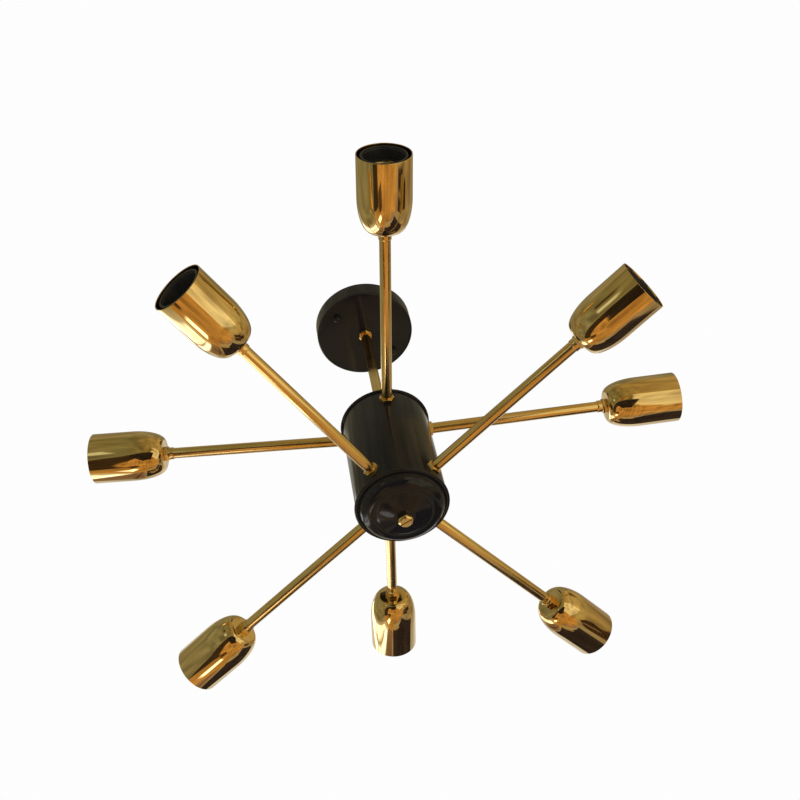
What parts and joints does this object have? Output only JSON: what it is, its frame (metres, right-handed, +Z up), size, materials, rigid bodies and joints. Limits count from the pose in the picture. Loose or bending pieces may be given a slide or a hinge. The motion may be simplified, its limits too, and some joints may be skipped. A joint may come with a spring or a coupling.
{
  "type": "sputnik chandelier",
  "caption": "Ceiling chandelier: a black drum hangs from a round canopy on a brass stem, and straight brass arms radiate from it, each ending in a polished cup with a screw lamp holder.",
  "frame": {"origin": "on the stem's axis, in the ceiling plane, at the middle of the mounting bar's top face", "axes": "+Z points up into the ceiling along the stem; -Y points towards the picture's viewer and +X to the viewer's right"},
  "size_m": [0.5603, 0.561, 0.3143],
  "materials": {
    "black_paint": "satin",
    "brass_pipe": "polished",
    "cup_brass": "mirror polished",
    "holder_black": "satin",
    "zinc_steel": "zinc plated",
    "contact_brass": "plain",
    "block_nylon": "matte"
  },
  "bodies": {
    "ceiling_plate": {"mounting_bar": "zinc_steel", "bar_studs": "zinc_steel", "earth_screw": "contact_brass", "canopy": "black_paint", "canopy_cap_nuts": "black_paint", "terminal_block": "block_nylon", "terminal_screws": "contact_brass"},
    "fixture": {"down_rod": "brass_pipe", "canopy_nut": "brass_pipe", "canopy_washer": "zinc_steel", "canopy_locknut": "zinc_steel", "top_cap": "black_paint", "top_nut": "brass_pipe", "top_locknut": "zinc_steel", "body_shell": "black_paint", "root_nuts": "brass_pipe", "root_washers": "zinc_steel", "root_locknuts": "zinc_steel", "cup_collars": "brass_pipe", "cup_nuts": "brass_pipe", "holder_caps": "holder_black", "screw_shells": "contact_brass", "centre_contacts": "contact_brass", "arm_tube_1": "brass_pipe", "socket_cup_1": "cup_brass", "lamp_holder_1": "holder_black", "arm_tube_2": "brass_pipe", "socket_cup_2": "cup_brass", "lamp_holder_2": "holder_black", "arm_tube_3": "brass_pipe", "socket_cup_3": "cup_brass", "lamp_holder_3": "holder_black", "arm_tube_4": "brass_pipe", "socket_cup_4": "cup_brass", "lamp_holder_4": "holder_black", "arm_tube_5": "brass_pipe", "socket_cup_5": "cup_brass", "lamp_holder_5": "holder_black", "arm_tube_6": "brass_pipe", "socket_cup_6": "cup_brass", "lamp_holder_6": "holder_black", "arm_tube_7": "brass_pipe", "socket_cup_7": "cup_brass", "lamp_holder_7": "holder_black", "arm_tube_8": "brass_pipe", "socket_cup_8": "cup_brass", "lamp_holder_8": "holder_black"},
    "lower_cover": {"bottom_cap": "black_paint"},
    "finial_knob": {"finial": "brass_pipe"}
  },
  "joints": [
    {"name": "fixture_turn", "type": "hinge", "parent": "ceiling_plate", "child": "fixture", "pos_m": [0, 0, -0.02], "axis": [0, 0, 1], "range_deg": [-180, 180]},
    {"name": "bottom_cap_drop", "type": "slide", "parent": "fixture", "child": "lower_cover", "axis": [0, 0, -1], "range_m": [0, 0.06]},
    {"name": "finial_unscrew", "type": "slide", "parent": "lower_cover", "child": "finial_knob", "axis": [0, 0, -1], "range_m": [0, 0.014]}
  ]
}
